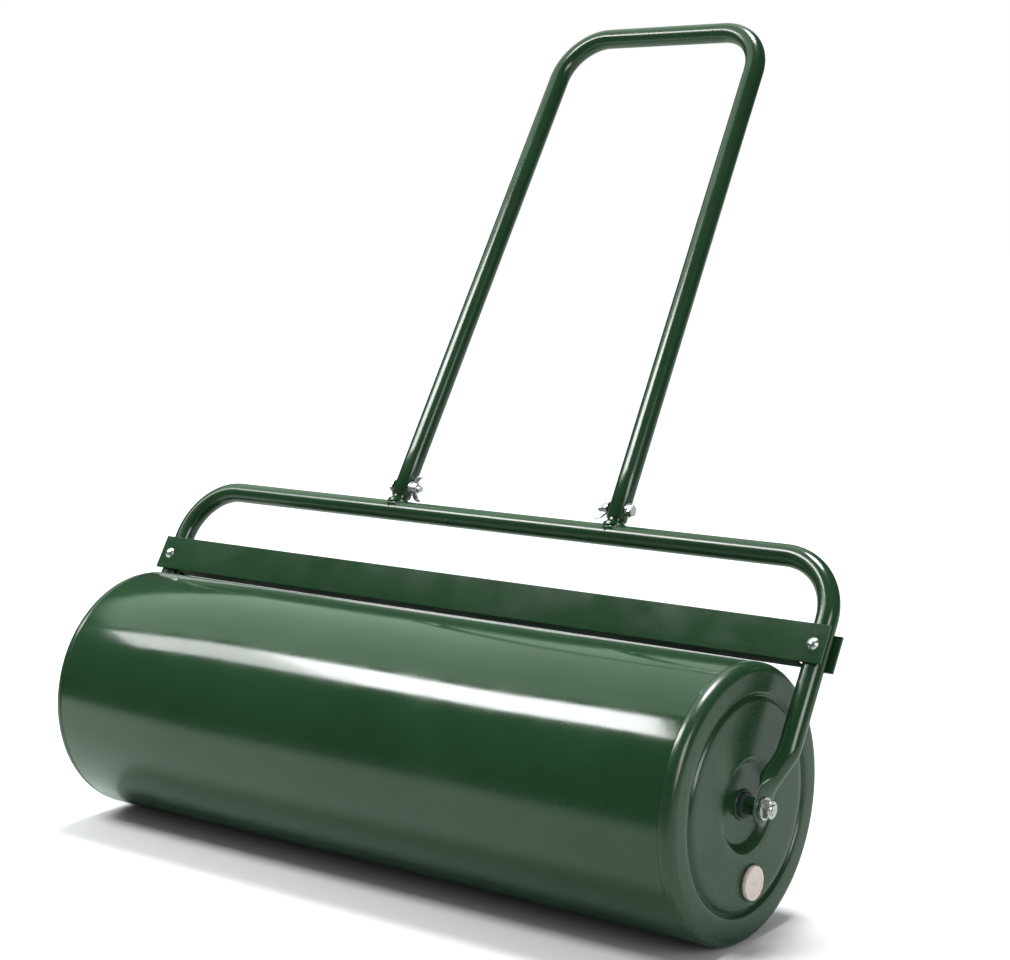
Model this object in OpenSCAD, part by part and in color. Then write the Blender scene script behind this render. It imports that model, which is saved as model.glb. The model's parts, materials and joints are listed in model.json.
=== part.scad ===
// Lawn roller: a water-ballast steel drum in a bent tube fork, with a push handle
// bolted to two stubs on the fork and a scraper bar across the front of the fork.
// X runs along the drum, Y runs back under the leaning handle, Z is up from the lawn.

/* [Drum] */
// Outside diameter of the rolling drum
drum_d = 300; // [200:5:400]
// Width of the drum between the flats of its ends
drum_w = 900; // [500:10:1200]
// Sheet thickness of the rolled shell
shell_t = 2.5; // [1.5:0.1:4]

/* [Drum ends] */
// Sheet thickness of the pressed end caps
cap_t = 2.5; // [1.5:0.1:4]
// How far the cap's face stands out past the drum's rolling width
cap_out = 6; // [0:0.5:8]
// Length of the cap's straight rim behind its rounding
cap_skirt = 3; // [2:0.5:12]
// Rounding between the cap's face and its rim
cap_round = 12; // [8:0.5:16]
// Middle radius of the pressed groove, as a share of the drum's radius
groove_at = 0.765; // [0.72:0.005:0.82]
// Half width of the pressed groove
groove_half = 5; // [4:0.5:9]
// Depth of the pressed groove
groove_deep = 3.5; // [1:0.5:6]
// Radius of the recessed middle dish, as a share of the drum's radius
dish_at = 0.35; // [0.3:0.01:0.38]
// Depth of the recessed middle dish
dish_deep = 8; // [2:0.5:12]
// Width of the slope into the dish
dish_slope = 12; // [4:0.5:14]

/* [Axle] */
// Diameter of the threaded axle rod
rod_d = 12; // [8:1:20]
// Radial running clearance between the rod and the bushes
run_gap = 0.05; // [0.02:0.01:0.1]
// Outside diameter of the tube welded through the drum
core_d = 27; // [24:0.5:40]
// Wall of the tube welded through the drum
core_t = 3.2; // [2:0.1:4]
// How far the core tube stands out past the shell's end
core_out = 2; // [0:0.5:6]
// Length of the bush inside the core tube
bush_len = 25; // [10:1:60]
// Thickness of the bush flange
bush_flange = 3; // [1.5:0.5:6]
// End play between the bush flange and the spacer
end_play = 0.4; // [0.2:0.1:1.5]
// Outside diameter of the spacer on the rod
spacer_d = 19; // [17:0.5:26]
// Length of the spacer on the rod
spacer_len = 14; // [8:0.5:30]
// Diameter of the axle washer
washer_d = 24; // [20:1:32]
// Thickness of the axle washer
washer_t = 2.5; // [1:0.5:4]
// Width of the axle nut across its flats
nut_af = 19; // [17:1:30]
// Height of the axle nut
nut_h = 8; // [6:0.5:18]
// Thread left showing past the axle nut
rod_end = 2.5; // [1:0.5:10]

/* [Filler] */
// Outside diameter of the filler neck
neck_d = 36.4; // [30:0.2:44]
// Wall of the filler neck
neck_wall = 2.2; // [1.5:0.1:4]
// How far the neck runs into the tank
neck_in = 22; // [14:1:30]
// How far the neck stands out of the cap
neck_out = 1; // [0.5:0.5:3]
// Distance of the filler from the axle
neck_r = 85; // [78:1:92]
// Angle of the filler from straight down, in degrees
neck_turn = 4.4; // [0:0.2:180]
// Thickness of the plug's head
plug_head = 4.5; // [3:0.5:8]
// Overlap of the plug's head past the neck
plug_lip = 0.3; // [0:0.1:3]
// Length of the plug's stem
plug_stem = 16; // [8:1:20]

/* [Fork] */
// Lean of the fork and handle back from upright, in degrees
lean = 31; // [15:0.5:45]
// Outside diameter of the fork tube
tube_d = 25; // [22:0.5:30]
// Wall of the fork and handle tubes
tube_t = 2; // [1.5:0.1:3]
// Distance from the axle to the middle of the fork's top bar
bar_up = 281; // [250:1:340]
// Gap between the outer face of an arm and the end of the spacer stack
arm_step = 12; // [8:0.5:24]
// Centre radius of the fork's bends
fork_bend = 70; // [50:1:90]
// Height on the arm where the inward step starts
step_top = 64; // [60:1:100]
// Height on the arm where the inward step ends
step_low = 34; // [30:1:44]
// Thickness of the flattened arm end
flat_t = 5; // [4:0.5:7]
// Width of the flattened arm end
flat_w = 36; // [28:1:38]
// Clearance of a bolt or rod in its hole, on the radius
hole_gap = 0.2; // [0.1:0.05:0.6]
// Diameter of the drain hole near each arm's foot
drain_d = 4; // [2:0.5:6]

/* [Handle] */
// Distance between the handle's legs at their feet
leg_gap = 327; // [240:1:420]
// Lean of each leg towards the other, in degrees
leg_taper = 1.27; // [0:0.01:3]
// Sideways offset of the handle from the drum's middle
handle_off = 18; // [0:1:30]
// Distance from the fork's top bar to the handle's grip bar
grip_up = 697; // [500:1:900]
// Centre radius of the handle's bends
grip_bend = 62; // [45:1:90]
// Stub left showing between the top bar and the handle's leg
stub_show = 7; // [4:0.5:20]
// Length of stub inside the handle's leg
stub_in = 46; // [30:1:80]
// Clearance between the stub and the leg, on the radius
stub_gap = 0.2; // [0.1:0.05:0.5]
// Width of the weld fillet at the stub's foot
weld_w = 3.5; // [1.5:0.5:5]
// Height of the handle bolt above the leg's foot
bolt_up = 13; // [10:0.5:25]
// Diameter of the handle bolts
hbolt_d = 8; // [6:1:10]
// Width of the handle bolt's head across its flats
hbolt_af = 13; // [10:1:17]
// Height of the handle bolt's head
hbolt_head = 5.3; // [4:0.1:8]
// Diameter of the handle washers
hwash_d = 17; // [14:0.5:24]
// Thickness of the handle washers
hwash_t = 1.6; // [1:0.1:3]
// Diameter of the wing nut's hub
wing_hub = 15; // [13:0.5:20]
// Height of the wing nut's hub
wing_h = 8; // [6:0.5:12]
// Span of the wing nut over both wings
wing_span = 36; // [26:1:48]
// Height of the wings above the wing nut's foot
wing_rise = 17; // [12:0.5:24]
// Thickness of each wing
wing_t = 3; // [2:0.5:4]
// Bolt thread left showing past the wing nut
hbolt_end = 5; // [1:0.5:10]

/* [Scraper] */
// Height of the scraper's face
blade_h = 44; // [38:1:60]
// Sheet thickness of the scraper
blade_t = 3; // [2:0.5:5]
// How far the scraper runs past the middle of each arm
blade_over = 15; // [14:0.5:30]
// Distance from the drum's surface to the scraper's lower edge, along the lean
blade_clear = 9; // [6:0.5:20]
// Depth of the flange folded back under the scraper
flange_w = 29; // [20:1:34]
// Gap between the end of the flange and each arm
flange_gap = 6; // [4:0.5:12]
// Outside radius of the fold
fold_r = 6; // [4:0.5:9]
// Diameter of the scraper bolts
sbolt_d = 6; // [5:1:8]
// Diameter of the scraper bolt's round head
shead_d = 14; // [12:0.5:18]
// Height of the scraper bolt's round head
shead_h = 4; // [3:0.5:6]
// Half width of the clamp plate behind each arm
clamp_half = 17; // [14:0.5:20]
// Diameter of the scraper washers
swash_d = 12; // [11:0.5:16]
// Thickness of the scraper washers
swash_t = 1.6; // [1:0.1:3]
// Width of the scraper nut across its flats
snut_af = 10; // [9:0.5:14]
// Height of the scraper nut
snut_h = 5; // [4:0.5:8]
// Seating clearance between a flat part and a round tube
seat_gap = 0.05; // [0.02:0.01:0.2]

/* [Colours] */
// Glossy paint on the drum, fork, handle and scraper
paint = "#35593B"; // ["#35593B":Green, "#8A2A22":Red, "#27476B":Blue]
// Bright zinc on the rod, nuts, bolts and washers
zinc = "#B9BCBE"; // ["#B9BCBE":Zinc, "#3A3A3C":Black]
// Moulded plastic of the filler plug
plug_colour = "#E6CFC8"; // ["#E6CFC8":Pale, "#202020":Black]

/* [Hidden] */
$fn = 96;
bush_colour = "#22272A";
eps = 0.01;
mitre = 0.02; // extra radius of a slanting rod, so its cut end covers the round end it meets
drum_r = drum_d / 2;
tube_r = tube_d / 2;
rod_r = rod_d / 2;
core_r = core_d / 2;
core_in = core_r - core_t;
cap_r = drum_r;
x_face = drum_w / 2 + cap_out; // the flat of a cap
x_seam = x_face - cap_round - cap_skirt; // where a cap meets the shell
groove_r = groove_at * drum_r;
dish_r = dish_at * drum_r;
neck_ro = neck_d / 2;
neck_ri = neck_ro - neck_wall;
// where the stack along the axle stands, from the drum's middle outwards
x_core = drum_w / 2 + core_out;
x_bush = x_core + bush_flange;
x_space = x_bush + end_play;
x_flat = x_space + spacer_len + seat_gap;
x_wash = x_flat + flat_t + seat_gap;
x_nut = x_wash + washer_t;
x_end = x_nut + nut_h + rod_end;
x_foot = x_flat + flat_t / 2;
x_arm = x_foot + arm_step;
flat_up = washer_d / 2 + 2; // the arm's foot stays flat this far up from the axle
// the handle in the leaning plane
leg_foot = bar_up + tube_r + stub_show;
grip_z = bar_up + grip_up;
leg_x = leg_gap / 2;
bend_z = grip_z - grip_bend;
leg_len = (bend_z - leg_foot) / cos(leg_taper);
bend_x = round((leg_x - leg_len * sin(leg_taper) - grip_bend) * 20) / 20;
stub_r = tube_r - tube_t - stub_gap;
hbolt_r = hbolt_d / 2;
sbolt_r = sbolt_d / 2;
// the scraper in the leaning plane
blade_y = tube_r + seat_gap;
blade_low = drum_r + blade_clear;
blade_top = blade_low + blade_h;
blade_x = x_arm + blade_over;
sbolt_z = (blade_low + blade_top) / 2 - 1;
flange_x = x_arm - tube_r - flange_gap;
// the origin is under the middle of the whole roller
back_y = grip_z * sin(lean) + tube_r;
drum_y = (drum_r - back_y) / 2;

// ---- frames ----
// the plane of the fork and handle: Z runs up the arms from the axle
module leaning() { translate([0, drum_y, drum_r]) rotate([-lean, 0, 0]) children(); }
// along the axle, pointing out of the drum on side s
module along_axle(s, x) { translate([s * x, drum_y, drum_r]) rotate([0, s * 90, 0]) children(); }
// up one leg of the handle from its foot
module up_leg(s) {
  leaning() translate([handle_off + s * leg_x, 0, leg_foot]) rotate([0, -s * leg_taper, 0]) children();
}
// across a leg at its bolt, pointing away from the other leg
module across_leg(s) { up_leg(s) translate([0, 0, bolt_up]) rotate([0, s * 90, 0]) children(); }
// through an arm at its scraper bolt, pointing back
module through_arm(s) { leaning() translate([s * x_arm, 0, sbolt_z]) rotate([-90, 0, 0]) children(); }

// ---- shared shapes ----
module ring(ro, ri, h) { difference() { cylinder(r = ro, h = h); translate([0, 0, -1]) cylinder(r = ri, h = h + 2); } }

module hex_body(af, h) {
  intersection() {
    cylinder(r = af / sqrt(3), h = h, $fn = 6);
    cylinder(r1 = af / 2 + h * 0.55, r2 = af / 2 - h * 0.02, h = h);
  }
}

module hex_nut(af, h, ri) {
  difference() { hex_body(af, h); translate([0, 0, -1]) cylinder(r = ri, h = h + 2); }
}

// the pressed face of a cap: how deep it lies at radius r
function ramp(t) = let (u = min(1, max(0, t))) u * u * (3 - 2 * u);
function face_z(r) = -groove_deep * ramp(1 - abs(r - groove_r) / groove_half)
  - dish_deep * ramp((dish_r - r) / dish_slope);
face_rs = concat([core_r + 0.05], [for (i = [0:7]) dish_r - dish_slope + i * dish_slope / 7],
  [for (i = [0:12]) groove_r - groove_half + i * groove_half / 6], [cap_r - cap_round]);

// points round the cap's corner, at distance r from the corner's centre
function corner(r) = [for (i = [0:8]) [cap_r - cap_round + r * sin(i * 11.25), -cap_round + r * cos(i * 11.25)]];

module cap_profile() {
  n = len(face_rs);
  polygon(concat([for (i = [0:n - 2]) [face_rs[i], face_z(face_rs[i])]], corner(cap_round),
    [[cap_r, -cap_round - cap_skirt], [cap_r - cap_t, -cap_round - cap_skirt]],
    [for (i = [8:-1:0]) corner(cap_round - cap_t)[i]],
    [for (i = [n - 2:-1:0]) [face_rs[i], face_z(face_rs[i]) - cap_t]]));
}

module end_cap(s, filler) {
  color(paint) along_axle(s, x_face) difference() {
    rotate_extrude() cap_profile();
    if (filler) rotate([0, 0, neck_turn]) translate([neck_r, 0, -20]) cylinder(r = neck_ro + 0.05, h = 40);
  }
}

module bush(s) {
  color(bush_colour) along_axle(s, x_core - bush_len) difference() {
    union() {
      cylinder(r = core_in - 0.05, h = bush_len + bush_flange);
      translate([0, 0, bush_len]) cylinder(r = core_r, h = bush_flange);
    }
    translate([0, 0, -1]) cylinder(r = rod_r + run_gap, h = bush_len + bush_flange + 2);
  }
}

module spacer(s) { color(paint) along_axle(s, x_space) ring(spacer_d / 2, rod_r + hole_gap, spacer_len); }

module axle_nut(s) { color(zinc) along_axle(s, x_nut) rotate([0, 0, 12]) hex_nut(nut_af, nut_h, rod_r); }

// a straight rod of radius r from one point to another, cut level at both ends
module level_rod(r, from, to) {
  step = to - from;
  tilt = atan2(step[0], step[1]);
  intersection() {
    translate([from[0], 0, from[1]]) rotate([0, tilt, 0]) translate([0, 0, -tube_d])
      cylinder(r = r + mitre, h = norm(step) + 2 * tube_d);
    translate([min(from[0], to[0]) - tube_d, -tube_d, from[1]])
      cube([abs(step[0]) + 2 * tube_d, 2 * tube_d, step[1]]);
  }
}

// the fork as a solid rod of radius r, flat feet left out
module fork_rod(r) {
  arm_top = bar_up - fork_bend;
  run = x_arm - fork_bend;
  translate([-run, 0, bar_up]) rotate([0, 90, 0]) cylinder(r = r, h = 2 * run);
  for (s = [-1, 1]) {
    translate([s * run, 0, arm_top]) rotate([90, 0, 0])
      rotate([0, 0, s > 0 ? 0 : 90]) rotate_extrude(angle = 90) translate([fork_bend, 0]) circle(r = r);
    translate([s * x_arm, 0, step_top]) cylinder(r = r, h = arm_top - step_top);
    level_rod(r, [s * x_foot, step_low], [s * x_arm, step_top]);
  }
}

// the handle's legs, bends and grip as a solid rod of radius r
module handle_rod(r) {
  low = leg_foot - (r < tube_r ? 1 : 0);
  for (s = [-1, 1]) {
    level_rod(r, [s * leg_x, low], [s * (bend_x + grip_bend), bend_z]);
    translate([s * bend_x, 0, bend_z]) rotate([90, 0, 0])
      rotate([0, 0, s > 0 ? 0 : 90]) rotate_extrude(angle = 90) translate([grip_bend, 0]) circle(r = r);
  }
  translate([-bend_x, 0, grip_z]) rotate([0, 90, 0]) cylinder(r = r, h = 2 * bend_x);
}

module stub(s) {
  color(paint) difference() {
    up_leg(s) difference() {
      union() {
        translate([0, 0, -stub_show - tube_r]) cylinder(r = stub_r, h = stub_show + tube_r + stub_in);
        translate([0, 0, -stub_show - weld_w]) cylinder(r = stub_r + weld_w, h = weld_w);
        translate([0, 0, -stub_show]) cylinder(r1 = stub_r + weld_w, r2 = stub_r, h = weld_w);
      }
      translate([0, 0, -stub_show - tube_r - 1]) cylinder(r = stub_r - tube_t, h = stub_show + tube_r + stub_in + 2);
      translate([0, 0, bolt_up]) rotate([0, 90, 0])
        cylinder(r = hbolt_r + hole_gap, h = 4 * tube_r, center = true);
    }
    leaning() translate([-drum_w, 0, bar_up]) rotate([0, 90, 0]) cylinder(r = tube_r, h = 2 * drum_w);
  }
}

module wing_nut(s) {
  color(zinc) across_leg(s) translate([0, 0, -tube_r - seat_gap - hwash_t - 0.1]) rotate([180, 0, 0]) difference() {
    union() {
      cylinder(r1 = wing_hub / 2, r2 = wing_hub / 2 - 1.6, h = wing_h);
      for (a = [0, 180]) rotate([90, 0, a + 20]) translate([0, 0, -wing_t / 2]) linear_extrude(wing_t)
        difference() {
          union() {
            polygon([[0, 0.6], [wing_hub / 2, 0.6], [wing_span / 2 - 1.5, wing_rise - 8],
              [wing_span / 2 - 8, wing_rise - 1.5], [0, wing_h - 0.6]]);
            translate([wing_span / 2 - 5, wing_rise - 5]) circle(r = 5);
          }
          translate([-wing_span, -1]) square([wing_span, wing_rise + 4]);
        }
    }
    translate([0, 0, -1]) cylinder(r = hbolt_r, h = wing_rise + 4);
  }
}

module clamp_plate(s) {
  color(paint) through_arm(s) translate([0, 0, blade_y]) difference() {
    translate([-clamp_half, -blade_h / 2 + 1, 0]) cube([2 * clamp_half, blade_h - 2, blade_t]);
    translate([0, 0, -1]) cylinder(r = sbolt_r + hole_gap, h = blade_t + 2);
  }
}

// ---- nodes ----
module drum_shell() {
  color(paint) along_axle(1, -x_seam + 0.05) ring(drum_r, drum_r - shell_t, 2 * x_seam - 0.1);
}

module end_cap_left() { end_cap(-1, false); }
module end_cap_right() { end_cap(1, true); }

module core_tube() { color(paint) along_axle(1, -x_core) ring(core_r, core_in, 2 * x_core); }

module bush_left() { bush(-1); }
module bush_right() { bush(1); }

module filler_neck() {
  color(paint) along_axle(1, x_face - neck_in) rotate([0, 0, neck_turn])
    translate([neck_r, 0, 0]) ring(neck_ro, neck_ri, neck_in + neck_out);
}

module filler_plug() {
  color(plug_colour) along_axle(1, x_face + neck_out + eps) rotate([0, 0, neck_turn])
    translate([neck_r, 0, 0]) difference() {
      union() {
        cylinder(r = neck_ro + plug_lip, h = plug_head - 1.5);
        translate([0, 0, plug_head - 1.5]) cylinder(r1 = neck_ro + plug_lip, r2 = neck_ro + plug_lip - 1.5, h = 1.5);
        translate([0, 0, -plug_stem]) cylinder(r = neck_ri - run_gap, h = plug_stem + 1);
      }
      translate([0, 0, -plug_stem - 1]) cylinder(r = neck_ri - run_gap - 2.4, h = plug_stem + 1);
      translate([0, 0, plug_head - 1]) cylinder(r = neck_ro - 5, h = 2);
    }
}

module axle_rod() { color(zinc) along_axle(1, -x_end) cylinder(r = rod_r, h = 2 * x_end); }

module spacer_left() { spacer(-1); }
module spacer_right() { spacer(1); }

module axle_washers() {
  color(zinc) for (s = [-1, 1]) along_axle(s, x_wash) ring(washer_d / 2, rod_r + hole_gap, washer_t);
}

module axle_nut_left() { axle_nut(-1); }
module axle_nut_right() { axle_nut(1); }

module fork_tube() {
  color(paint) leaning() difference() {
    union() {
      fork_rod(tube_r);
      for (s = [-1, 1]) {
        // the tube pressed flat around the rod
        translate([s * x_foot, 0, 0]) rotate([0, 90, 0]) cylinder(r = flat_w / 2, h = flat_t, center = true);
        translate([s * x_foot - flat_t / 2, -flat_w / 2, 0]) cube([flat_t, flat_w, flat_up]);
        hull() {
          translate([s * x_foot, 0, step_low - 1]) cylinder(r = tube_r, h = 1, $fn = 40);
          translate([s * x_foot - flat_t / 2, -flat_w / 2, flat_up - 1]) cube([flat_t, flat_w, 1]);
        }
      }
    }
    fork_rod(tube_r - tube_t);
    for (s = [-1, 1]) {
      translate([s * x_foot, 0, 0]) rotate([0, 90, 0]) cylinder(r = rod_r + hole_gap, h = 4 * tube_r, center = true);
      translate([s * x_arm, 0, sbolt_z]) rotate([90, 0, 0])
        cylinder(r = sbolt_r + hole_gap, h = 4 * tube_r, center = true);
      translate([s * (x_foot + arm_step / 2), 0, (step_top + step_low) / 2]) rotate([-90, 0, 0])
        cylinder(r = drain_d / 2, h = 2 * tube_r);
    }
  }
}

module stub_left() { stub(-1); }
module stub_right() { stub(1); }

module handle_tube() {
  color(paint) difference() {
    leaning() translate([handle_off, 0, 0]) difference() {
      handle_rod(tube_r);
      handle_rod(tube_r - tube_t);
    }
    for (s = [-1, 1]) across_leg(s) cylinder(r = hbolt_r + hole_gap, h = 4 * tube_r, center = true);
  }
}

module handle_bolts() {
  seat = tube_r + seat_gap + hwash_t;
  color(zinc) for (s = [-1, 1]) across_leg(s) {
    translate([0, 0, seat]) hex_body(hbolt_af, hbolt_head);
    translate([0, 0, -seat - wing_h - hbolt_end]) cylinder(r = hbolt_r - run_gap, h = 2 * seat + wing_h + hbolt_end + hbolt_head / 2);
  }
}

module handle_washers() {
  color(zinc) for (s = [-1, 1]) across_leg(s) for (z = [tube_r + seat_gap, -tube_r - seat_gap - hwash_t])
    translate([0, 0, z]) ring(hwash_d / 2, hbolt_r + hole_gap, hwash_t);
}

module wing_nut_left() { wing_nut(-1); }
module wing_nut_right() { wing_nut(1); }

module scraper_blade() {
  color(paint) leaning() difference() {
    union() {
      translate([-blade_x, -blade_y - blade_t, blade_low]) cube([2 * blade_x, blade_t, blade_h]);
      translate([-flange_x, -blade_y - blade_t, blade_low]) cube([2 * flange_x, flange_w, blade_t]);
      translate([-flange_x, -blade_y, blade_low]) cube([2 * flange_x, fold_r - blade_t, fold_r]);
    }
    // round the fold outside and inside
    translate([0, -blade_y - blade_t, blade_low]) rotate([90, 0, 90]) linear_extrude(2 * flange_x, center = true)
      difference() {
        translate([-1, -1]) square(fold_r + 1);
        translate([fold_r, fold_r]) circle(r = fold_r);
      }
    translate([-flange_x - 1, fold_r - blade_y - blade_t, blade_low + fold_r]) rotate([0, 90, 0])
      cylinder(r = fold_r - blade_t, h = 2 * flange_x + 2);
    for (s = [-1, 1]) translate([s * x_arm, 0, sbolt_z]) rotate([90, 0, 0])
      cylinder(r = sbolt_r + hole_gap, h = 4 * tube_r);
  }
}

module clamp_plate_left() { clamp_plate(-1); }
module clamp_plate_right() { clamp_plate(1); }

module scraper_bolts() {
  dome = (pow(shead_d / 2, 2) + pow(shead_h, 2)) / (2 * shead_h);
  color(zinc) for (s = [-1, 1]) through_arm(s) {
    translate([0, 0, -blade_y - blade_t]) rotate([180, 0, 0]) intersection() {
      translate([0, 0, shead_h - dome]) sphere(r = dome);
      cylinder(r = shead_d, h = shead_h + 1);
    }
    translate([0, 0, -blade_y - blade_t - 1])
      cylinder(r = sbolt_r, h = 2 * blade_y + 2 * blade_t + swash_t + snut_h + 4);
  }
}

module scraper_washers() {
  color(zinc) for (s = [-1, 1]) through_arm(s) translate([0, 0, blade_y + blade_t])
    ring(swash_d / 2, sbolt_r + hole_gap, swash_t);
}

module scraper_nuts() {
  color(zinc) for (s = [-1, 1]) through_arm(s) translate([0, 0, blade_y + blade_t + swash_t])
    hex_nut(snut_af, snut_h, sbolt_r);
}

drum_shell();
end_cap_left();
end_cap_right();
core_tube();
bush_left();
bush_right();
filler_neck();
filler_plug();
axle_rod();
spacer_left();
spacer_right();
axle_washers();
axle_nut_left();
axle_nut_right();
fork_tube();
stub_left();
stub_right();
handle_tube();
handle_bolts();
handle_washers();
wing_nut_left();
wing_nut_right();
scraper_blade();
clamp_plate_left();
clamp_plate_right();
scraper_bolts();
scraper_washers();
scraper_nuts();
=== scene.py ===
import json
import math
import bpy
from mathutils import Matrix, Vector

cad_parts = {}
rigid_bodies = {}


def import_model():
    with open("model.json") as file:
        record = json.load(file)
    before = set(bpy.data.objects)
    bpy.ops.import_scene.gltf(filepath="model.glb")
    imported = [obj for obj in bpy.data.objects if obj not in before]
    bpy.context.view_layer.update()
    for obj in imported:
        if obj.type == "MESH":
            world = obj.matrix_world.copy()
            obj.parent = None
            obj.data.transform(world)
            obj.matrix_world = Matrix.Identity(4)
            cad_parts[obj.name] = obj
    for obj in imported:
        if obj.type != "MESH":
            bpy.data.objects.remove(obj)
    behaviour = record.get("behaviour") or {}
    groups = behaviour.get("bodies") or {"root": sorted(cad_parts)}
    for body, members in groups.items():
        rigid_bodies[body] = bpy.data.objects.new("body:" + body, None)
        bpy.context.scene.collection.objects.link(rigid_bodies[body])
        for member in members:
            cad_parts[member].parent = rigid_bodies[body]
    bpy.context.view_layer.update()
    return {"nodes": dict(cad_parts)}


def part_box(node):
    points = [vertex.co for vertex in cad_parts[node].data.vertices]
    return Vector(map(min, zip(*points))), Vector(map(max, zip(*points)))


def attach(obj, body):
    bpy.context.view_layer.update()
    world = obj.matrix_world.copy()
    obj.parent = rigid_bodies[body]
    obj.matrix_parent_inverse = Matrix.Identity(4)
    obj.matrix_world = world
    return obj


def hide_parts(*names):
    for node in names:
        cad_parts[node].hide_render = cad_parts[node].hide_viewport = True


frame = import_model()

bl_info = {
    "name": "Lawn roller",
    "version": (1, 0, 0),
    "blender": (4, 5, 0),
    "location": "View3D > Sidebar > Lawn roller",
    "description": "Builds a lawn roller's drum, tube fork, handle, scraper and hardware on a packed frame",
    "category": "Object",
}

NODES = frame["nodes"]
TAU = 2 * math.pi


# fixed small measures, in metres
SEAT = 0.00005       # clearance between a flat part and what it seats on
DRUM_WALL = 0.0025   # sheet of the drum's shell and ends
GROOVE_AT = 0.765    # middle of a cap's groove, as a share of the drum's radius
DISH_AT = 0.35       # edge of a cap's dish, as a share of the drum's radius
FOOT_HALF = 0.018    # half width of an arm's flattened foot
FOOT_FLAT = 0.0025   # half thickness of that foot
ROD_R, ROD_ROOT, ROD_END = 0.00598, 0.0052, 0.4875
BLADE_T = 0.003      # sheet of the scraper, and the middle radius of its fold
FLANGE = 0.029       # depth of the scraper's folded edge
LIP, BURR = 0.0004, 0.0003   # how far the ends of the handle tube are broken, outside and inside
SIDES = ((-1, "left"), (1, "right"))
LIGHT_Z = 2.3        # height of the softboxes over the roller


# ---- sizes and colours ----
def length(name, description, default):
    return bpy.props.FloatProperty(name=name, description=description, default=default, unit="LENGTH")


def angle(name, description, default):
    return bpy.props.FloatProperty(name=name, description=description, default=default, subtype="ANGLE")


def colour(name, description, default):
    return bpy.props.FloatVectorProperty(
        name=name, description=description, subtype="COLOR", size=3, default=default)


class RollerSizes(bpy.types.PropertyGroup):
    """The sizes that the drawn pieces share, in metres"""
    drum_r: length("Drum radius", "Outside radius of the drum", 0.150)
    drum_half: length("Drum half width", "Half the drum's width between the flats of its ends", 0.450)
    cap_out: length("Cap stand-out", "How far the flat of a cap stands out past the drum's width", 0.006)
    cap_round: length("Cap rounding", "Rounding between the cap's flat and its rim", 0.012)
    drum_y: length("Axle Y", "Where the axle lies along Y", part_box("axle_rod")[0].y + 0.006)
    lean: angle("Lean", "Lean of the fork and handle from upright", math.radians(31))
    tube_r: length("Tube radius", "Outside radius of the fork and handle tube", 0.0125)
    tube_t: length("Tube wall", "Wall of the tubes", 0.002)
    foot_x: length("Arm foot X", "Middle of an arm's flattened foot", 0.47195)
    arm_x: length("Arm X", "Middle of an arm above its step", 0.48395)
    bar_z: length("Top bar", "Axle to the middle of the fork's top bar, along the lean", 0.281)
    fork_bend: length("Fork bend", "Centre radius of the fork's bends", 0.070)
    grip_z: length("Grip bar", "Axle to the middle of the grip, along the lean", 0.978)
    grip_bend: length("Handle bend", "Centre radius of the handle's bends", 0.062)
    leg_x: length("Leg X", "Half the distance between the legs at their feet", 0.1635)
    leg_foot: length("Leg foot", "Where the legs start, along the lean", 0.3005)
    leg_taper: angle("Leg taper", "Lean of each leg towards the other", math.radians(1.27))
    handle_off: length("Handle offset", "Sideways offset of the handle", 0.018)
    blade_low: length("Scraper foot", "Lower edge of the scraper, along the lean", 0.159)
    blade_h: length("Scraper height", "Height of the scraper's face", 0.044)


class RollerColours(bpy.types.PropertyGroup):
    """The colours of the paint, metal and plastic"""
    paint: colour("Paint", "Glossy enamel", (0.010, 0.038, 0.015))
    paint_dark: colour("Paint, thick", "Enamel where it lies thicker", (0.007, 0.028, 0.010))
    zinc: colour("Zinc", "Bright zinc plate", (0.72, 0.73, 0.75))
    nylon: colour("Nylon", "Moulded nylon", (0.030, 0.034, 0.040))
    plug: colour("Plug", "Moulded plug plastic", (0.66, 0.56, 0.52))


def sizes():
    return bpy.context.scene.roller_sizes


def colours():
    return bpy.context.scene.roller_colours


# ---- materials ----
MADE = {}


def new_material(name):
    """A new material with its node tree and shader, or the one that this script made before"""
    if name in MADE:
        return MADE[name], None, None
    if name in bpy.data.materials:
        raise RuntimeError("the frame already has a material called " + name)
    mat = MADE[name] = bpy.data.materials.new(name)
    mat.use_nodes = True
    tree = mat.node_tree
    return mat, tree, tree.nodes["Principled BSDF"]


def node(tree, kind, **inputs):
    n = tree.nodes.new(kind)
    for key, value in inputs.items():
        n.inputs[key.replace("_", " ")].default_value = value
    return n


def noise(tree, scale, detail=4.0, rough=0.55):
    coords = tree.nodes.new("ShaderNodeTexCoord")
    n = node(tree, "ShaderNodeTexNoise", Scale=scale, Detail=detail, Roughness=rough)
    tree.links.new(coords.outputs["Object"], n.inputs["Vector"])
    return n


def spread(tree, source, lo, hi, low_value, high_value):
    n = tree.nodes.new("ShaderNodeMapRange")
    for i, v in zip((1, 2, 3, 4), (lo, hi, low_value, high_value)):
        n.inputs[i].default_value = v
    tree.links.new(source, n.inputs[0])
    return n.outputs[0]


def mix_colour(tree, factor, a, b):
    n = tree.nodes.new("ShaderNodeMix")
    n.data_type = "RGBA"
    n.inputs[6].default_value = (*a, 1)
    n.inputs[7].default_value = (*b, 1)
    tree.links.new(factor, n.inputs[0])
    return n.outputs[2]


def bump(tree, shader, source, strength, distance, after=None):
    n = tree.nodes.new("ShaderNodeBump")
    n.inputs["Strength"].default_value = strength
    n.inputs["Distance"].default_value = distance
    tree.links.new(source, n.inputs["Height"])
    if after:
        tree.links.new(after, n.inputs["Normal"])
    tree.links.new(n.outputs["Normal"], shader.inputs["Normal"])
    return n.outputs["Normal"]


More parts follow.
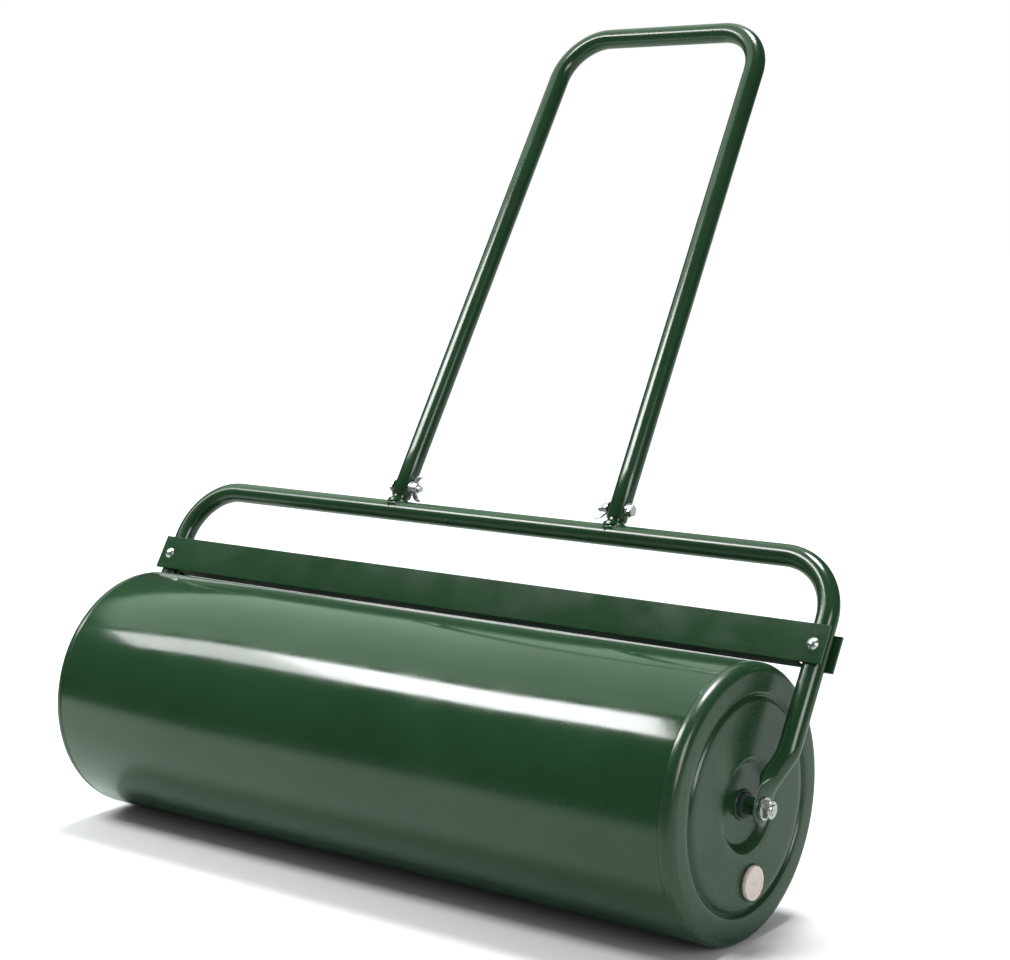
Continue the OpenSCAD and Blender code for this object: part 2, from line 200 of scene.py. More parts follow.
def enamel(name="green_enamel", peel=0.03, rough=(0.10, 0.17), coat=0.15, shine=0.55):
    """Glossy paint: two greens that drift into each other, an uneven gloss and a fine orange peel"""
    mat, tree, bsdf = new_material(name)
    if tree:
        c = colours()
        drift = noise(tree, 7.0, 5.0)
        thick = spread(tree, drift.outputs["Fac"], 0.3, 0.7, 0, 1)
        tree.links.new(mix_colour(tree, thick, c.paint, c.paint_dark), bsdf.inputs["Base Color"])
        haze = noise(tree, 22.0, 6.0, 0.6)
        tree.links.new(spread(tree, haze.outputs["Fac"], 0.35, 0.7, *rough), bsdf.inputs["Roughness"])
        bsdf.inputs["Coat Weight"].default_value = coat
        bsdf.inputs["Coat Roughness"].default_value = 0.06
        bsdf.inputs["Specular IOR Level"].default_value = shine
        fine = bump(tree, bsdf, noise(tree, 420.0, 2.0).outputs["Fac"], peel, 0.0006)
        bump(tree, bsdf, noise(tree, 16.0, 2.0).outputs["Fac"], peel * 1.4, 0.004, fine)
    return mat


def weld_enamel():
    return enamel("weld_enamel", 0.4, (0.25, 0.4))


def tube_enamel():
    return enamel("tube_enamel", 0.03, (0.17, 0.26))


def plated(name="bright_zinc"):
    """Bright zinc: cool and warm patches, an uneven sheen and fine turning marks"""
    mat, tree, bsdf = new_material(name)
    if tree:
        z = colours().zinc
        patch = noise(tree, 90.0, 4.0)
        warm = (z[0] * 0.98, z[1] * 0.93, z[2] * 0.82)
        tint = spread(tree, patch.outputs["Fac"], 0.35, 0.75, 0, 1)
        tree.links.new(mix_colour(tree, tint, z, warm), bsdf.inputs["Base Color"])
        bsdf.inputs["Metallic"].default_value = 1.0
        sheen = noise(tree, 240.0, 5.0)
        tree.links.new(spread(tree, sheen.outputs["Fac"], 0.3, 0.75, 0.18, 0.42), bsdf.inputs["Roughness"])
        bump(tree, bsdf, noise(tree, 900.0, 3.0).outputs["Fac"], 0.12, 0.0003)
    return mat


def moulded(name, shade, rough, scatter):
    """Moulded plastic: a faint cloudiness and a fine spark-eroded skin"""
    mat, tree, bsdf = new_material(name)
    if tree:
        cloud = noise(tree, 60.0, 3.0)
        deep = tuple(v * 0.86 for v in shade)
        tint = spread(tree, cloud.outputs["Fac"], 0.3, 0.75, 0, 1)
        tree.links.new(mix_colour(tree, tint, shade, deep), bsdf.inputs["Base Color"])
        gloss = spread(tree, noise(tree, 300.0, 4.0).outputs["Fac"], 0.3, 0.7, rough - 0.06, rough + 0.08)
        tree.links.new(gloss, bsdf.inputs["Roughness"])
        bsdf.inputs["Subsurface Weight"].default_value = scatter
        bsdf.inputs["Subsurface Scale"].default_value = 0.003
        bump(tree, bsdf, noise(tree, 1200.0, 2.0).outputs["Fac"], 0.08, 0.0003)
    return mat


def paint_node(name, mat):
    data = NODES[name].data
    data.materials.clear()
    data.materials.append(mat)


# ---- modelling by operator ----
def clear():
    if bpy.context.object and bpy.context.object.mode != "OBJECT":
        bpy.ops.object.mode_set(mode="OBJECT")
    bpy.ops.object.select_all(action="DESELECT")


def edit_all():
    bpy.ops.object.mode_set(mode="EDIT")
    bpy.ops.mesh.select_all(action="SELECT")


def ring(name, r, n, z=0.0):
    """A new mesh that starts as one ring of n points, all selected, in edit mode"""
    clear()
    bpy.ops.mesh.primitive_circle_add(vertices=n, radius=r, location=(0, 0, 0))
    ob = bpy.context.object
    ob.name = name
    ob.data.name = name
    edit_all()
    if z:
        bpy.ops.transform.translate(value=(0, 0, z))
    return ob


def step(move, scale=(1, 1, 1), centre=(0, 0, 0)):
    bpy.ops.mesh.extrude_region_move(TRANSFORM_OT_translate={"value": move})
    if scale != (1, 1, 1):
        bpy.ops.transform.resize(value=scale, center_override=centre)


def close_up(sharp=35.0, weld=2e-6):
    bpy.ops.mesh.select_all(action="SELECT")
    bpy.ops.mesh.remove_doubles(threshold=weld)
    bpy.ops.mesh.normals_make_consistent(inside=False)
    bpy.ops.object.mode_set(mode="OBJECT")
    bpy.ops.object.shade_smooth_by_angle(angle=math.radians(sharp))


def place(ob, matrix):
    clear()
    ob.select_set(True)
    bpy.context.view_layer.objects.active = ob
    ob.matrix_world = matrix
    bpy.ops.object.transform_apply(location=True, rotation=True, scale=True)
    if matrix.determinant() < 0:
        edit_all()
        bpy.ops.mesh.normals_make_consistent(inside=False)
        bpy.ops.object.mode_set(mode="OBJECT")


def lathe(name, profile, n=96, sharp=35.0):
    """A closed profile of (radius, height) turned round Z: a ring extruded and resized along the profile"""
    r0, z0 = profile[0]
    ob = ring(name, r0, n, z0)
    r, z = r0, z0
    for r1, z1 in profile[1:]:
        k = r1 / r
        step((0, 0, z1 - z), (k, k, 1), (0, 0, z1))
        r, z = r1, z1
    close_up(sharp)
    return ob


def finish_piece(ob, body, mat, slot, *stands_for):
    ob.data.materials.clear()
    ob.data.materials.append(mat)
    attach(ob, body)
    if stands_for:
        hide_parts(*stands_for)
    return ob


def join(parts, name):
    clear()
    for p in parts:
        p.select_set(True)
    bpy.context.view_layer.objects.active = parts[0]
    bpy.ops.object.join()
    parts[0].name = name
    parts[0].data.name = name
    return parts[0]


def modify(ob, kind, **values):
    clear()
    ob.select_set(True)
    bpy.context.view_layer.objects.active = ob
    m = ob.modifiers.new(kind.title(), kind)
    for key, value in values.items():
        setattr(m, key, value)
    bpy.ops.object.modifier_apply(modifier=m.name)


def smooth(t):
    t = min(1.0, max(0.0, t))
    return t * t * (3 - 2 * t)


def rounded(profile, r, n=3):
    """The profile with each corner cut round by up to r"""
    out, m = [], len(profile)
    for i, p in enumerate(profile):
        a, b, c = Vector(profile[i - 1]), Vector(p), Vector(profile[(i + 1) % m])
        k = min(r, (a - b).length * 0.45, (c - b).length * 0.45)
        p0, p1 = b + (a - b).normalized() * k, b + (c - b).normalized() * k
        for j in range(n + 1):
            t = j / n
            q = p0.lerp(b, t).lerp(b.lerp(p1, t), t)
            out.append((q.x, q.y))
    return out + [out[0]]


# ---- frames ----
def leaning():
    s = sizes()
    return Matrix.Translation((0, s.drum_y, s.drum_r)) @ Matrix.Rotation(-s.lean, 4, "X")


def along_axle(side, x):
    s = sizes()
    return Matrix.Translation((side * x, s.drum_y, s.drum_r)) @ Matrix.Rotation(side * math.pi / 2, 4, "Y")


def up_leg(side, h=0.0):
    s = sizes()
    return (leaning() @ Matrix.Translation((s.handle_off + side * s.leg_x, 0, s.leg_foot))
            @ Matrix.Rotation(-side * s.leg_taper, 4, "Y") @ Matrix.Translation((0, 0, h)))


def across_leg(side):
    return up_leg(side, 0.013) @ Matrix.Rotation(side * math.pi / 2, 4, "Y")


# ---- pieces ----
def cap_face(r):
    """Depth of the pressed face at radius r, behind its flat"""
    R = sizes().drum_r
    groove = smooth(1 - abs(r - GROOVE_AT * R) / 0.005)
    dish = smooth((DISH_AT * R - r) / 0.012)
    return -0.0035 * groove - 0.008 * dish


def arc(x, z, r, n):
    """Profile points from straight up to straight out, round the centre (x, z)"""
    return [(x + r * math.sin(a), z + r * math.cos(a)) for a in [i * math.pi / (2 * n) for i in range(n + 1)]]


def build_drum():
    s = sizes()
    R, t = s.drum_r, DRUM_WALL
    face_x = s.drum_half + s.cap_out
    seam = face_x - s.cap_round - 0.003
    half = [(R - t, seam - SEAT), (R - 0.0004, seam - SEAT), (R - 0.0001, seam - 0.0002),
            (R, seam - 0.0006), (R, seam * 0.5)]
    profile = half + [(r, -z) for r, z in reversed(half)] + [half[0]]
    shell = lathe("drum_shell_skin", profile, 224, 30.0)
    place(shell, along_axle(1, 0))
    finish_piece(shell, "drum", enamel(), "green_paint", "drum_shell")
    for side, word in SIDES:
        rs = [0.0136, 0.020, 0.028, 0.036] + [DISH_AT * R - 0.012 + i * 0.001 for i in range(13)]
        rs += [0.062, 0.075, 0.090, 0.102] + [GROOVE_AT * R - 0.005 + i * 0.001 for i in range(11)]
        rs += [0.126, 0.132]
        face = [(r, cap_face(r)) for r in rs]
        cr = s.cap_round
        corner = arc(R - cr, -cr, cr, 12)
        inner = arc(R - cr, -cr, cr - t, 8)[::-1]
        back = [(r, z - t) for r, z in reversed(face)]
        rim = [(R, -cr - 0.0024), (R - 0.0001, -cr - 0.0028), (R - 0.0004, -cr - 0.003), (R - t, -cr - 0.003)]
        profile = face + corner + rim + inner + back + [face[0]]
        cap = lathe("end_cap_%s_pressing" % word, profile, 224, 40.0)
        place(cap, along_axle(side, face_x))
        paint = enamel("cap_enamel", 0.05, (0.22, 0.36))
        finish_piece(cap, "drum", paint, "green_paint", "end_cap_" + word)
        # the weld round the core tube
        seam_weld = weld("core_weld_" + word, 0.0146, 0.0020, 64, 0.28)
        place(seam_weld, along_axle(side, face_x - 0.0078))
        finish_piece(seam_weld, "drum", weld_enamel(), "green_paint")
    paint_node("core_tube", enamel())
    for word in ("left", "right"):
        paint_node("bush_" + word, moulded("bush_nylon", colours().nylon, 0.5, 0.0))


def weld(name, r, bead, n, ripple):
    """A weld bead: a torus whose tube swells and shrinks from one ripple to the next"""
    clear()
    bpy.ops.mesh.primitive_torus_add(
        major_segments=n, minor_segments=10, major_radius=r, minor_radius=bead, location=(0, 0, 0))
    ob = bpy.context.object
    ob.name = name
    ob.data.name = name
    for i in range(n):
        k = 1 + ripple * (0.6 * ((i % 3) - 1) + 0.4 * math.sin(i * 1.7))
        a = TAU * i / n
        centre = Vector((r * math.cos(a), r * math.sin(a), 0))
        for j in range(10):
            v = ob.data.vertices[i * 10 + j]
            v.co = centre + (v.co - centre) * k
    bpy.ops.object.shade_smooth()
    return ob


def filler_matrix(x):
    return along_axle(1, x) @ Matrix.Rotation(math.radians(4.4), 4, "Z") @ Matrix.Translation((0.085, 0, 0))


def build_filler():
    face_x = sizes().drum_half + sizes().cap_out
    paint_node("filler_neck", enamel())
    seam = weld("filler_weld", 0.0189, 0.0013, 60, 0.25)
    place(seam, filler_matrix(face_x + 0.0002))
    finish_piece(seam, "drum", weld_enamel(), "green_paint")
    ro, ri = 0.0185, 0.01595
    head = [(ro, 0.0), (ro, 0.0045), (0.0145, 0.0045), (0.0132, 0.0034), (0.0030, 0.0034),
            (0.0012, 0.0039), (0.0008, 0.0039), (0.0008, 0.0010)]
    stem = [(ri - 0.0024, 0.0), (ri - 0.0024, -0.016), (ri, -0.016), (ri, 0.0)]
    outline = rounded(head + stem, 0.0009)
    plug = lathe("filler_plug_moulding", outline, 96, 45.0)
    # a row of grip notches round the head
    edit_all()
    bpy.ops.mesh.select_all(action="DESELECT")
    bpy.ops.object.mode_set(mode="OBJECT")
    for v in plug.data.vertices:
        r = math.hypot(v.co.x, v.co.y)
        if r > 0.0168 and v.co.z > 0.0005:
            turn = math.atan2(v.co.y, v.co.x) * 12 / TAU
            dip = smooth(1 - abs((turn % 1.0) - 0.5) / 0.16) * 0.0007
            v.co.x *= 1 - dip / r
            v.co.y *= 1 - dip / r
    place(plug, filler_matrix(face_x + 0.001 + 0.00001))
    plastic = moulded("pale_plastic", colours().plug, 0.34, 0.1)
    finish_piece(plug, "plug", plastic, "plug_plastic", "filler_plug")


def thread(r, root, pitch, z0, z1):
    """Profile points of a screw thread from z0 to z1, drawn as rings"""
    pts, z = [], z0
    while z < z1 - pitch * 0.5:
        pts += [(r, z), (root, z + pitch * 0.5)]
        z += pitch
    return pts


def build_axle():
    zinc = plated()
    end = ROD_END
    top = [(ROD_R, 0.430)] + thread(ROD_R, ROD_ROOT, 0.00175, 0.452, end - 0.0012) + [(0.0051, end)]
    ends = [(0.0006, end), (0.0006, -end)] + [(r, -z) for r, z in reversed(top)]
    rod = lathe("axle_rod_threaded", top + ends + [top[0]], 48, 25.0)
    place(rod, along_axle(1, 0))
    finish_piece(rod, "frame", zinc, "zinc_plate", "axle_rod")
    for name in ("axle_washers", "axle_nut_left", "axle_nut_right"):
        paint_node(name, zinc)
    for name in ("spacer_left", "spacer_right"):
        paint_node(name, enamel())


def build_fork():
    s = sizes()
    r = s.tube_r
    arm_top, run = s.bar_z - s.fork_bend, s.arm_x - s.fork_bend

    def section(z):
        """Centre, half thickness and half width of an arm at height z"""
        press = smooth((z - 0.014) / 0.022)
        a = FOOT_FLAT + (r - FOOT_FLAT) * press
        b = FOOT_HALF + (r - FOOT_HALF) * press
        if z < 0:
            b = math.sqrt(max(FOOT_HALF ** 2 - z * z, 1e-8))
            a = FOOT_FLAT * (0.6 + 0.4 * b / FOOT_HALF)
        x = s.foot_x + (s.arm_x - s.foot_x) * smooth((z - 0.026) / 0.042)
        return x, a, b

    levels = [-0.0179, -0.0174, -0.016, -0.0135, -0.010, -0.005, 0, 0.008, 0.014]
    levels += [0.014 + 0.003 * i for i in range(1, 11)]
    levels += [0.048, 0.052, 0.057, 0.062, 0.067, 0.072, 0.077, 0.082, 0.087]
    ob = ring("fork_tube_bent", r, 40)
    x, a, b = section(levels[0])
    bpy.ops.transform.resize(value=(a / r, b / r, 1), center_override=(0, 0, 0))
    bpy.ops.mesh.edge_face_add()
    bpy.ops.transform.translate(value=(-x, 0, levels[0]))
    for lo, hi in zip(levels, levels[1:]):
        x1, a1, b1 = section(hi)
        step((-(x1 - x), 0, hi - lo), (a1 / a, b1 / b, 1), (-x1, 0, hi))
        x, a, b = x1, a1, b1
    step((0, 0, arm_top - levels[-1]))
    bpy.ops.mesh.spin(steps=20, angle=-math.pi / 2, center=(-run, 0, arm_top), axis=(0, 1, 0))
    for i in range(12):
        step((2 * run / 12, 0, 0))
    bpy.ops.mesh.spin(steps=20, angle=-math.pi / 2, center=(run, 0, arm_top), axis=(0, 1, 0))
    step((0, 0, levels[-1] - arm_top))
    down = levels[::-1]
    for hi, lo in zip(down, down[1:]):
        x1, a1, b1 = section(lo)
        step((x1 - x, 0, lo - hi), (a1 / a, b1 / b, 1), (x1, 0, lo))
        x, a, b = x1, a1, b1
    bpy.ops.mesh.edge_face_add()
    close_up(50.0)
    check_span(ob, s.arm_x + r, s.bar_z + r)
    place(ob, leaning())
    finish_piece(ob, "frame", tube_enamel(), "green_paint", "fork_tube")
    for side, word in SIDES:
        paint_node("stub_" + word, enamel())
        seam = weld("stub_weld_" + word, 0.0122, 0.0021, 48, 0.25)
        # the bead follows the saddle of the round bar it lies on
        for v in seam.data.vertices:
            v.co.z -= r - math.sqrt(max(r * r - v.co.y ** 2, 1e-9)) if abs(v.co.y) < r else r * 0.6
        place(seam, up_leg(side, -0.0066))
        finish_piece(seam, "frame", weld_enamel(), "green_paint")


def check_span(ob, x, z):
    hi_x = max(abs(v.co.x) for v in ob.data.vertices)
    hi_z = max(v.co.z for v in ob.data.vertices)
    if abs(hi_x - x) > 0.0015 or abs(hi_z - z) > 0.0015:
        raise RuntimeError("%s came out %.4f by %.4f, not %.4f by %.4f" % (ob.name, hi_x, hi_z, x, z))


def build_handle():
    s = sizes()
    r, t = s.tube_r, s.tube_t
    bend_z = s.grip_z - s.grip_bend
    top_x = s.leg_x - (bend_z - s.leg_foot) * math.tan(s.leg_taper)
    cx = top_x - s.grip_bend
    ob = ring("handle_tube_bent", r - t, 40, 0.03)
    step((0, 0, -0.0295))
    step((0, 0, -0.0005), ((r - t + BURR) / (r - t), (r - t + BURR) / (r - t), 1))
    k = (r - LIP) / (r - t + BURR)
    step((0, 0, 0), (k, k, 1))
    k = r / (r - LIP)
    step((0, 0, 0.0005), (k, k, 1))
    bpy.ops.mesh.select_linked()
    bpy.ops.transform.translate(value=(-s.leg_x, 0, s.leg_foot))
    bpy.ops.mesh.select_all(action="DESELECT")
    bpy.ops.object.mode_set(mode="OBJECT")
    for v in ob.data.vertices:
        v.select = abs(math.hypot(v.co.x + s.leg_x, v.co.y) - r) < 1e-5
    for e in ob.data.edges:
        e.select = all(ob.data.vertices[i].select for i in e.vertices)
    bpy.ops.object.mode_set(mode="EDIT")
    n = 10
    dx, dz = (s.leg_x - top_x) / n, (bend_z - s.leg_foot - 0.0005) / n
    for i in range(n):
        step((dx, 0, dz))
    bpy.ops.mesh.spin(steps=20, angle=-math.pi / 2, center=(-cx, 0, bend_z), axis=(0, 1, 0))
    for i in range(6):
        step((2 * cx / 6, 0, 0))
    bpy.ops.mesh.spin(steps=20, angle=-math.pi / 2, center=(cx, 0, bend_z), axis=(0, 1, 0))
    for i in range(n):
        step((dx, 0, -dz))
    k = (r - LIP) / r
    at = (s.leg_x, 0, s.leg_foot)
    step((0, 0, -0.0005), (k, k, 1), at)
    k = (r - t + BURR) / (r - LIP)
    step((0, 0, 0), (k, k, 1), at)
    k = (r - t) / (r - t + BURR)
    step((0, 0, 0.0005), (k, k, 1), at)
    step((0, 0, 0.0295))
    close_up(50.0)
    check_span(ob, s.leg_x + r, s.grip_z + r)
    place(ob, leaning() @ Matrix.Translation((s.handle_off, 0, 0)))
    finish_piece(ob, "frame", tube_enamel(), "green_paint", "handle_tube")


def build_wing_nuts():
    zinc = plated()
    washer_t = 0.0016
    seat = sizes().tube_r + SEAT + washer_t + 0.0001
    boss = rounded([(0.0041, 0.0), (0.0075, 0.0), (0.0072, 0.003), (0.0060, 0.008), (0.0041, 0.008)], 0.0008)
    # each wing grows outwards and up, and gets thinner to its tip
    growth = (((0.0032, 0, 0.0022), (1, 0.85, 1.15)),
              ((0.0026, 0, 0.0030), (1, 0.85, 1.1)),
              ((0.0018, 0, 0.0018), (1, 0.7, 0.62)))
    for side, word in SIDES:
        hub = lathe("wing_nut_%s_cast" % word, boss, 48, 40.0)
        wings = []
        for turn in (20, 200):
            clear()
            bpy.ops.mesh.primitive_cube_add(size=1, location=(0, 0, 0))
            w = bpy.context.object
            edit_all()
            bpy.ops.transform.resize(value=(0.004, 0.0034, 0.0066), center_override=(0, 0, 0))
            bpy.ops.transform.translate(value=(0.0068, 0, 0.0042))
            for move, k in growth:
                bpy.ops.mesh.select_all(action="DESELECT")
                bpy.ops.object.mode_set(mode="OBJECT")
                far = max(v.co.x for v in w.data.vertices)
                for p in w.data.polygons:
                    p.select = all(w.data.vertices[i].co.x > far - 1e-5 for i in p.vertices)
                bpy.ops.object.mode_set(mode="EDIT")
                bpy.ops.mesh.extrude_region_move(TRANSFORM_OT_translate={"value": move})
                bpy.ops.object.mode_set(mode="OBJECT")
                mid = sum((v.co for v in w.data.vertices if v.co.x > far + 1e-5), Vector()) / 4
                bpy.ops.object.mode_set(mode="EDIT")
                bpy.ops.transform.resize(value=k, center_override=tuple(mid))
            bpy.ops.object.mode_set(mode="OBJECT")
            modify(w, "BEVEL", width=0.0007, segments=2)
            modify(w, "SUBSURF", levels=2)
            bpy.ops.object.shade_smooth()
            place(w, Matrix.Rotation(math.radians(turn), 4, "Z"))
            wings.append(w)
        nut = join([hub] + wings, "wing_nut_%s_cast" % word)
        place(nut, across_leg(side) @ Matrix.Translation((0, 0, -seat)) @ Matrix.Rotation(math.pi, 4, "X"))
        finish_piece(nut, "wing_" + word, zinc, "zinc_plate", "wing_nut_" + word)


def build_scraper():
    s = sizes()
    half, fx = s.arm_x + 0.015, s.arm_x - s.tube_r - 0.006
    y0 = -(s.tube_r + SEAT)
    fold = 2 * BLADE_T
    low, high = s.blade_low, s.blade_low + s.blade_h
    clear()
    bpy.ops.mesh.primitive_plane_add(size=1, location=(0, 0, 0))
    ob = bpy.context.object
    ob.name = ob.data.name = "scraper_blade_folded"
    edit_all()
    bpy.ops.transform.resize(value=(2 * half, 1, 1), center_override=(0, 0, 0))
    bpy.ops.object.mode_set(mode="OBJECT")
    # the plane stands on its lower edge, at the back of the sheet
    for v in ob.data.vertices:
        v.co = Vector((v.co.x, y0, high if v.co.y > 0 else low + fold))
    edit_all()
    for x in (-fx, fx):
        bpy.ops.mesh.select_all(action="SELECT")
        bpy.ops.mesh.bisect(plane_co=(x, 0, 0), plane_no=(1, 0, 0))

    def pick(test):
        bpy.ops.mesh.select_all(action="DESELECT")
        bpy.ops.object.mode_set(mode="OBJECT")
        for e in ob.data.edges:
            e.select = all(test(ob.data.vertices[i].co) for i in e.vertices)
        bpy.ops.object.mode_set(mode="EDIT")

    pick(lambda c: c.z < low + fold + 0.0001 and abs(c.x) > fx - 1e-5)
    bpy.ops.mesh.extrude_region_move(TRANSFORM_OT_translate={"value": (0, 0, -fold)})
    pick(lambda c: abs(c.z - low - fold) < 1e-5 and abs(c.x) < fx + 1e-5)
    turns = [i * math.pi / 10 for i in range(6)]
    ways = [(BLADE_T * (1 - math.cos(a)), -BLADE_T * math.sin(a)) for a in turns]
    for (ya, za), (yb, zb) in zip(ways, ways[1:]):
        bpy.ops.mesh.extrude_region_move(TRANSFORM_OT_translate={"value": (0, yb - ya, zb - za)})
    bpy.ops.mesh.extrude_region_move(TRANSFORM_OT_translate={"value": (0, FLANGE - BLADE_T - BLADE_T, 0)})
    bpy.ops.mesh.select_all(action="SELECT")
    bpy.ops.mesh.remove_doubles(threshold=1e-6)
    bpy.ops.object.mode_set(mode="OBJECT")
    modify(ob, "SOLIDIFY", thickness=BLADE_T, offset=0.0)
    # the sheet moves forward until its back seats on the arms, and nothing hangs under its foot
    ys = [v.co.y for v in ob.data.vertices]
    shift = (y0 - BLADE_T) - min(ys)
    drop = low - min(v.co.z for v in ob.data.vertices)
    for v in ob.data.vertices:
        v.co.y += shift
        if v.co.z < high - 0.004:
            v.co.z = max(v.co.z, low) if drop > 0 else v.co.z
    modify(ob, "BEVEL", width=0.0006, segments=2, limit_method="ANGLE", angle_limit=math.radians(40))
    bpy.ops.object.shade_smooth_by_angle(angle=math.radians(35))
    # the wide faces reflect as flat sheet, not as bulges
    modify(ob, "WEIGHTED_NORMAL", keep_sharp=True, weight=100)
    place(ob, leaning())
    finish_piece(ob, "frame", enamel("web_enamel", 0.008, (0.08, 0.13)), "green_paint", "scraper_blade")
    # the faces that look down at the drum hardly shine, so they read dark: painted shade under the fold
    ob.data.materials.append(enamel("painted_shade_enamel", 0.03, (0.5, 0.65), coat=0.0, shine=0.02))
    for face in ob.data.polygons:
        if face.normal.z < -0.2:
            face.material_index = 1
    for word in ("left", "right"):
        paint_node("clamp_plate_" + word, enamel())
    build_wing_nuts()
    for name in ("scraper_bolts", "scraper_washers", "scraper_nuts", "handle_bolts", "handle_washers"):
        paint_node(name, plated())


# ---- stage ----
def area(name, place_at, size, power, aim=None, tint=(1, 1, 1)):
    """A softbox: it faces straight down with its first size along X, unless it is aimed"""
    data = bpy.data.lights.new(name, "AREA")
    data.shape = "RECTANGLE"
    data.size, data.size_y = size
    data.energy = power
    data.color = tint
    ob = bpy.data.objects.new(name, data)
    bpy.context.scene.collection.objects.link(ob)
    ob.location = place_at
    if aim:
        ob.rotation_euler = (Vector(aim) - Vector(place_at)).to_track_quat("-Z", "Y").to_euler()
    return ob


def build_floor():
    clear()
    bpy.ops.mesh.primitive_plane_add(size=60, location=(0, 0, -0.0005))
    floor = bpy.context.object
    floor.name = "floor"
    mat, tree, bsdf = new_material("floor_white")
    # what shines in the paint is a greyer floor, which ends a step in front of the drum
    path = tree.nodes.new("ShaderNodeLightPath")
    where = node(tree, "ShaderNodeNewGeometry")
    part = node(tree, "ShaderNodeSeparateXYZ")
    tree.links.new(where.outputs["Position"], part.inputs[0])
    reach = spread(tree, part.outputs["Y"], -1.35, -0.75, 0, 1)
    near = mix_colour(tree, reach, (0.04, 0.045, 0.045), (0.31, 0.355, 0.325))
    seen = node(tree, "ShaderNodeMix")
    seen.data_type = "RGBA"
    seen.inputs[6].default_value = (0.62, 0.62, 0.63, 1)
    tree.links.new(path.outputs["Is Glossy Ray"], seen.inputs[0])
    tree.links.new(near, seen.inputs[7])
    tree.links.new(seen.outputs[2], bsdf.inputs["Base Color"])
    bsdf.inputs["Roughness"].default_value = 0.9
    bsdf.inputs["Specular IOR Level"].default_value = 0.1
    floor.data.materials.append(mat)


def build_world():
    world = bpy.data.worlds.new("studio")
    bpy.context.scene.world = world
    world.use_nodes = True
    tree = world.node_tree
    back = tree.nodes["Background"]
    path = tree.nodes.new("ShaderNodeLightPath")
    white = node(tree, "ShaderNodeBackground", Strength=1.0)
    white.inputs["Color"].default_value = (1, 1, 1, 1)
    back.inputs["Color"].default_value = (0.80, 0.81, 0.83, 1)
    back.inputs["Strength"].default_value = 0.40
    dim = node(tree, "ShaderNodeBackground", Strength=0.07)
    dim.inputs["Color"].default_value = (0.80, 0.83, 0.84, 1)
    gloss = tree.nodes.new("ShaderNodeMixShader")
    tree.links.new(path.outputs["Is Glossy Ray"], gloss.inputs[0])
    tree.links.new(back.outputs[0], gloss.inputs[1])
    tree.links.new(dim.outputs[0], gloss.inputs[2])
    mix = tree.nodes.new("ShaderNodeMixShader")
    tree.links.new(path.outputs["Is Camera Ray"], mix.inputs[0])
    tree.links.new(gloss.outputs[0], mix.inputs[1])
    tree.links.new(white.outputs[0], mix.inputs[2])
    tree.links.new(mix.outputs[0], tree.nodes["World Output"].inputs["Surface"])


def build_lights():
    # a bright strip for the line along the drum, dimmer at its far end, and a wide dim panel behind it
    area("softbox_strip", (-1.25, -1.28, LIGHT_Z), (1.7, 0.70), 69)
    area("softbox_strip_far", (-2.85, -1.28, LIGHT_Z), (1.5, 0.70), 25)
    area("softbox_back", (-1.9, 0.95, LIGHT_Z), (3.4, 3.4), 42, tint=(0.80, 1.0, 0.83))
    area("softbox_front", (3.2, -1.2, 1.6), (1.2, 1.6), 38, (0.3, sizes().drum_y, 0.3))
    sun = bpy.data.lights.new("skylight", "SUN")
    sun.energy = 4.6
    sun.angle = math.radians(18)
    lamp = bpy.data.objects.new("skylight", sun)
    bpy.context.scene.collection.objects.link(lamp)
    towards_sun = Vector((-0.04, 0.22, 0.97))
    lamp.rotation_euler = (-towards_sun).to_track_quat("-Z", "Y").to_euler()


def build_camera():
    scene = bpy.context.scene
    data = bpy.data.cameras.new("camera")
    data.sensor_fit = "HORIZONTAL"
    data.sensor_width = 36.0
    data.lens = 75.58
    data.clip_end = 100
    cam = bpy.data.objects.new("camera", data)
    scene.collection.objects.link(cam)
    az, el = math.radians(37.32), math.radians(7.46)
    back_v = Vector((math.sin(az) * math.cos(el), -math.cos(az) * math.cos(el), math.sin(el)))
    right = Vector((math.cos(az), math.sin(az), 0))
    up = back_v.cross(right)
    m = Matrix((right, up, back_v)).transposed().to_4x4()
    m.translation = Vector((1.5566, -1.8624 + sizes().drum_y, 0.7737))
    cam.matrix_world = m
    scene.camera = cam
    scene.view_settings.view_transform = "Standard"


def build_stage():
    build_floor()
    build_world()
    build_lights()
    build_camera()


# ---- operators ----
class RollerStage(bpy.types.Operator):
    """Add the floor, the soft studio lights and the camera"""
    bl_idname = "roller.stage"
    bl_label = "Stage"

    def execute(self, context):
        build_stage()
        return {"FINISHED"}


class RollerDrum(bpy.types.Operator):
    """Build the rolled shell, the pressed ends and their welds"""
    bl_idname = "roller.drum"
    bl_label = "Drum"

    def execute(self, context):
        build_drum()
        return {"FINISHED"}


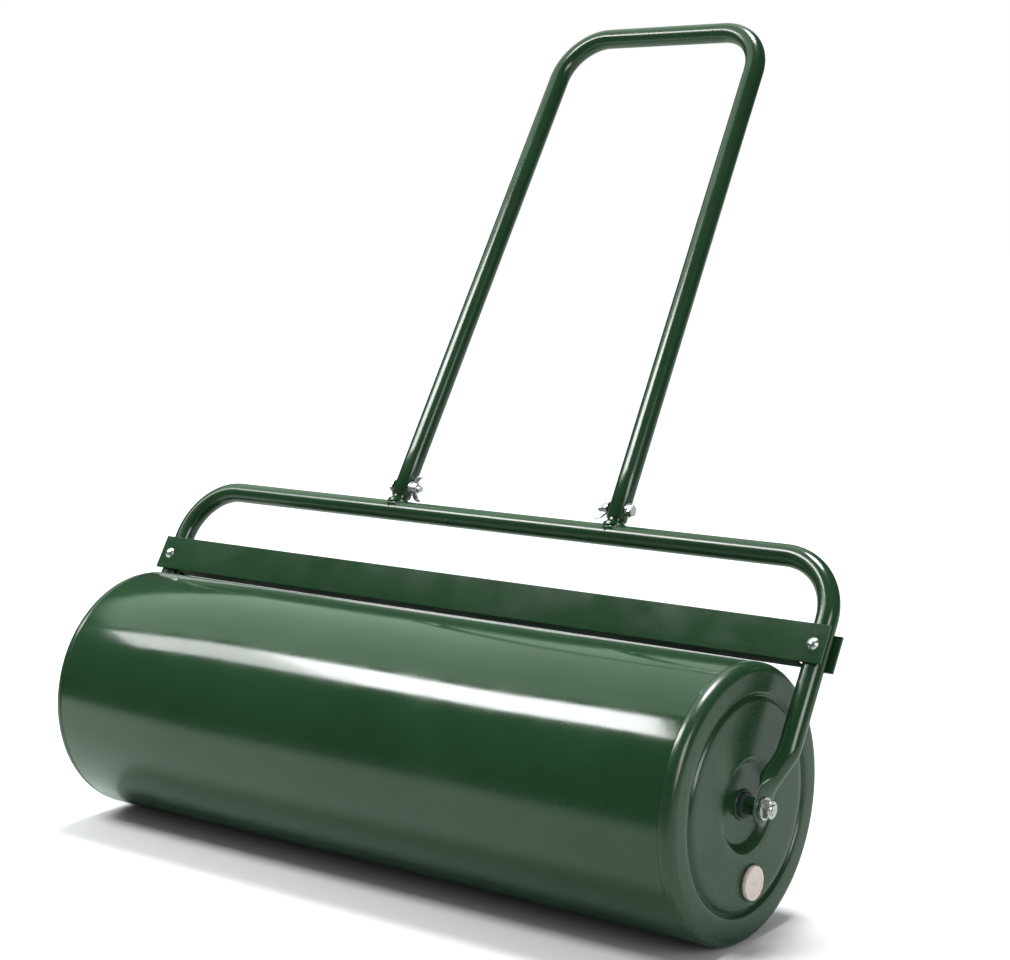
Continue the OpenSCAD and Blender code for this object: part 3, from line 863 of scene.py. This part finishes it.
class RollerFiller(bpy.types.Operator):
    """Build the filler neck's weld and the moulded plug"""
    bl_idname = "roller.filler"
    bl_label = "Filler"

    def execute(self, context):
        build_filler()
        return {"FINISHED"}


class RollerAxle(bpy.types.Operator):
    """Build the threaded axle rod and finish its hardware"""
    bl_idname = "roller.axle"
    bl_label = "Axle"

    def execute(self, context):
        build_axle()
        return {"FINISHED"}


class RollerFork(bpy.types.Operator):
    """Bend the fork from one tube and press its feet flat"""
    bl_idname = "roller.fork"
    bl_label = "Fork"

    def execute(self, context):
        build_fork()
        return {"FINISHED"}


class RollerHandle(bpy.types.Operator):
    """Bend the push handle from one tube"""
    bl_idname = "roller.handle"
    bl_label = "Handle"

    def execute(self, context):
        build_handle()
        return {"FINISHED"}


class RollerScraper(bpy.types.Operator):
    """Fold the scraper and finish the bolts, washers and wing nuts"""
    bl_idname = "roller.scraper"
    bl_label = "Scraper and fasteners"

    def execute(self, context):
        build_scraper()
        return {"FINISHED"}


class ROLLER_PT_panel(bpy.types.Panel):
    """Buttons for each piece of the roller"""
    bl_label = "Lawn roller"
    bl_space_type = "VIEW_3D"
    bl_region_type = "UI"
    bl_category = "Lawn roller"

    def draw(self, context):
        for op in OPERATORS:
            self.layout.operator(op.bl_idname)
        for group in (context.scene.roller_sizes, context.scene.roller_colours):
            box = self.layout.box()
            for key in group.__class__.__annotations__:
                box.prop(group, key)


OPERATORS = (RollerStage, RollerDrum, RollerFiller, RollerAxle, RollerFork, RollerHandle, RollerScraper)
CLASSES = (RollerSizes, RollerColours) + OPERATORS + (ROLLER_PT_panel,)


def register():
    for cls in CLASSES:
        bpy.utils.register_class(cls)
    bpy.types.Scene.roller_sizes = bpy.props.PointerProperty(type=RollerSizes)
    bpy.types.Scene.roller_colours = bpy.props.PointerProperty(type=RollerColours)


def unregister():
    del bpy.types.Scene.roller_sizes
    del bpy.types.Scene.roller_colours
    for cls in reversed(CLASSES):
        bpy.utils.unregister_class(cls)


def main():
    register()
    for op in OPERATORS:
        group, name = op.bl_idname.split(".")
        getattr(getattr(bpy.ops, group), name)()


if __name__ == "__main__":
    main()
